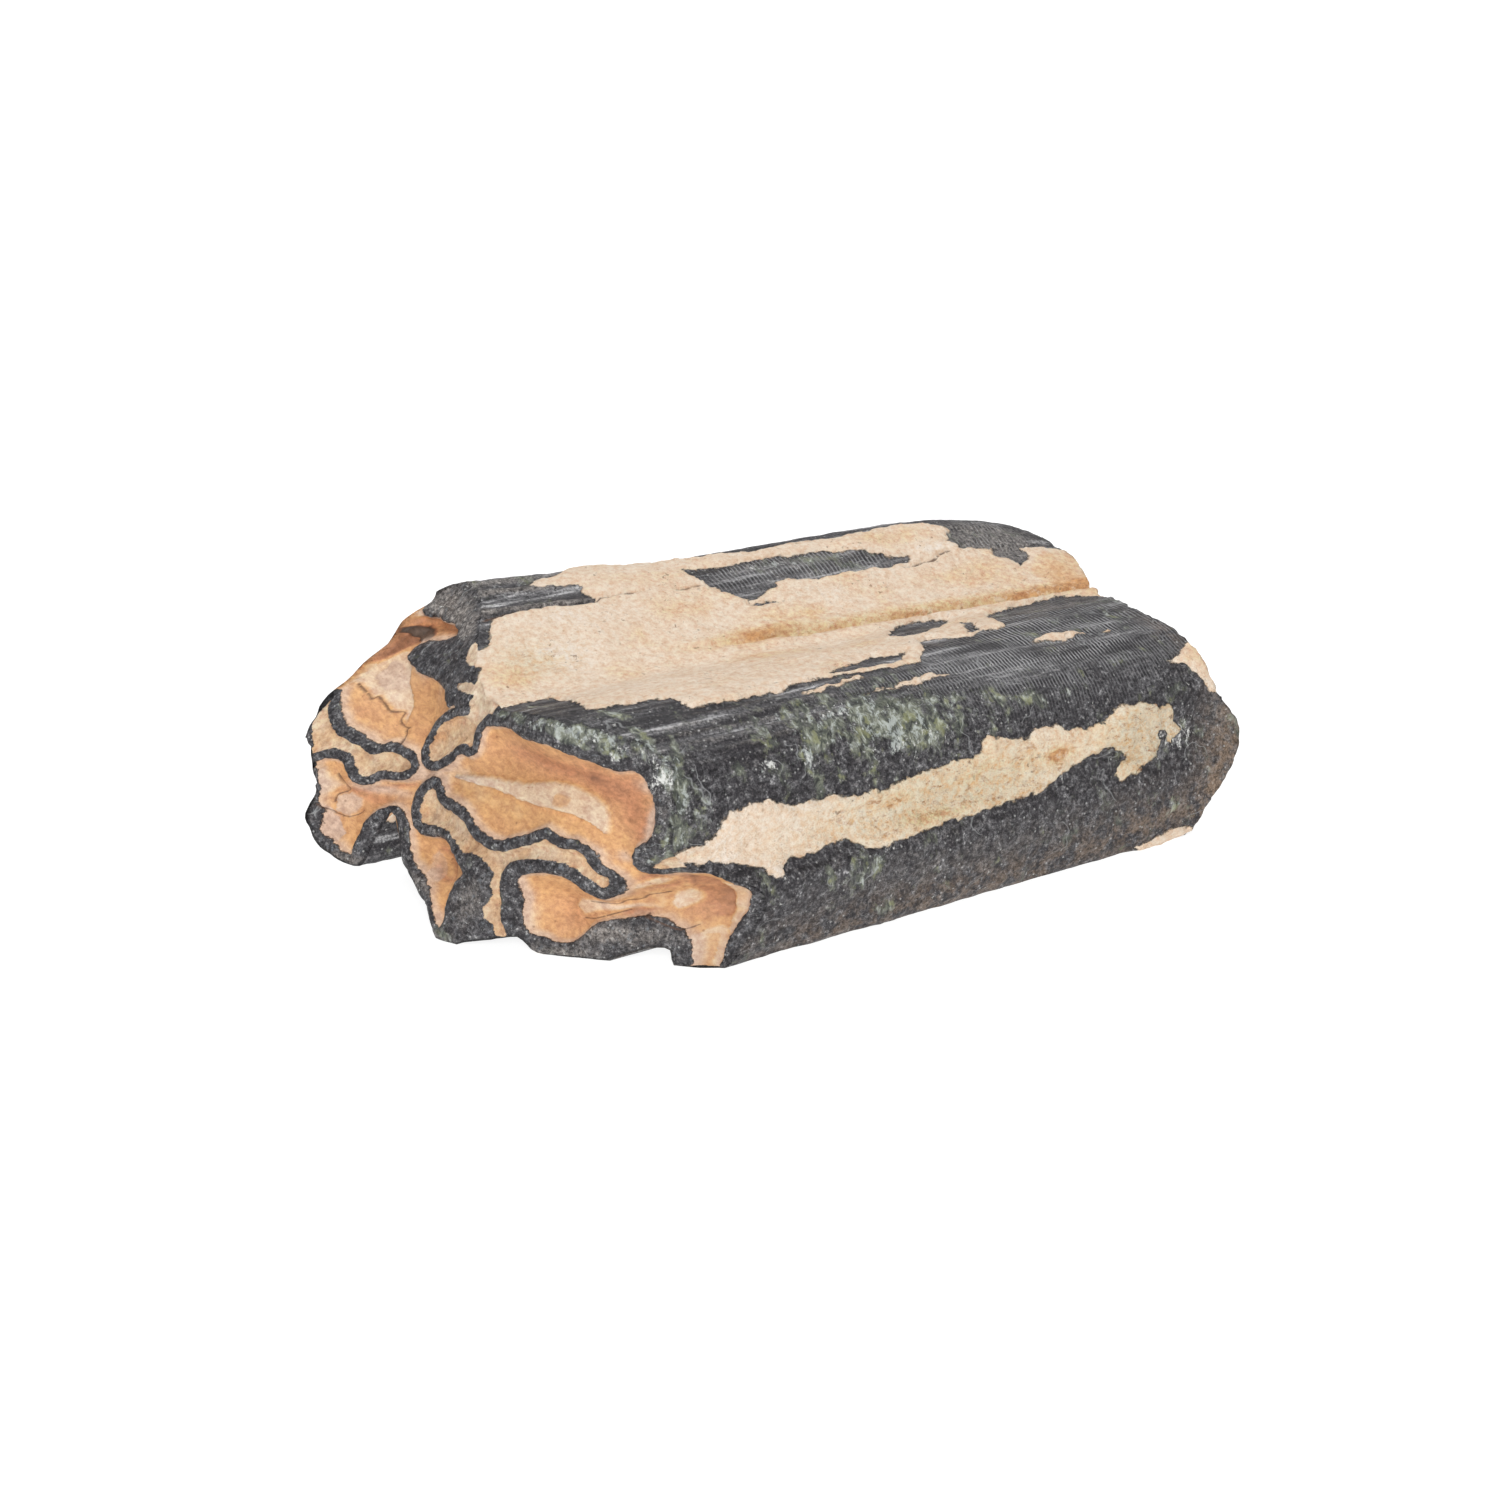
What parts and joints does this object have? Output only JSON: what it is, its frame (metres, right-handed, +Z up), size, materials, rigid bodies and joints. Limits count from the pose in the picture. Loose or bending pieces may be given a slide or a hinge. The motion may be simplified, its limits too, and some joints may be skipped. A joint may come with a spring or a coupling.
{
  "type": "fossil horse tooth",
  "caption": "Fossil cheek tooth of a horse: a long crown with a folded enamel chewing face, black enamel walls and cream cement.",
  "frame": {"origin": "centre of the bounding box, on the surface that the tooth lies on", "axes": "+X along the crown from the chewing face to the broken root end, +Y to the front side of the tooth, +Z up to the cheek side"},
  "size_m": [0.057, 0.0306, 0.0173],
  "materials": {
    "tooth": "satin, mineralised"
  },
  "bodies": {
    "root": {"tooth": "tooth"}
  },
  "joints": []
}
